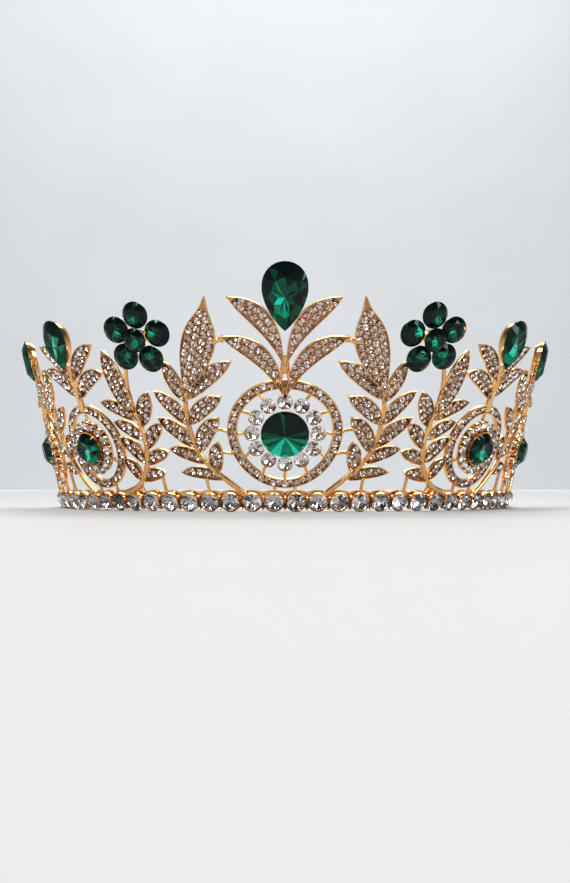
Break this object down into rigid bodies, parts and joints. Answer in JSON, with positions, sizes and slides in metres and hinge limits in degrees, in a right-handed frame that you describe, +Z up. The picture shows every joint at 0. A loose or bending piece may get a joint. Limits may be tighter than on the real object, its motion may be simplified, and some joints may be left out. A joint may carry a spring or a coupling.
{
  "type": "diadem",
  "caption": "Gold-coloured diadem with an openwork wall of pave leaves, green drop and oval stones, a crystal band and two wire ends with eyes for pins.",
  "frame": {"origin": "on the floor under the middle of the whole diadem", "axes": "+X to the diadem's right-hand side in the front view, +Y to the back, towards the wire ends, +Z up from the band"},
  "size_m": [0.176, 0.1272, 0.0666],
  "materials": {
    "gold": "polished",
    "crystal": "cut and polished",
    "green_glass": "cut and polished"
  },
  "bodies": {
    "root": {"frame": "gold", "band_stones": "crystal", "middle_rivoli": "green_glass", "middle_drop": "green_glass", "middle_ring_stones": "crystal", "halo_2_right": "crystal", "halo_2_left": "crystal", "halo_3_right": "crystal", "halo_3_left": "crystal", "drop_2_right": "green_glass", "drop_2_left": "green_glass", "oval_2_right": "green_glass", "oval_2_left": "green_glass", "drop_3_right": "green_glass", "drop_3_left": "green_glass", "oval_3_right": "green_glass", "oval_3_left": "green_glass", "end_drop_right": "green_glass", "end_drop_left": "green_glass", "flower_right_eye": "green_glass", "flower_right_1": "green_glass", "flower_right_2": "green_glass", "flower_right_3": "green_glass", "flower_right_4": "green_glass", "flower_right_5": "green_glass", "flower_left_eye": "green_glass", "flower_left_1": "green_glass", "flower_left_2": "green_glass", "flower_left_3": "green_glass", "flower_left_4": "green_glass", "flower_left_5": "green_glass"}
  },
  "joints": []
}
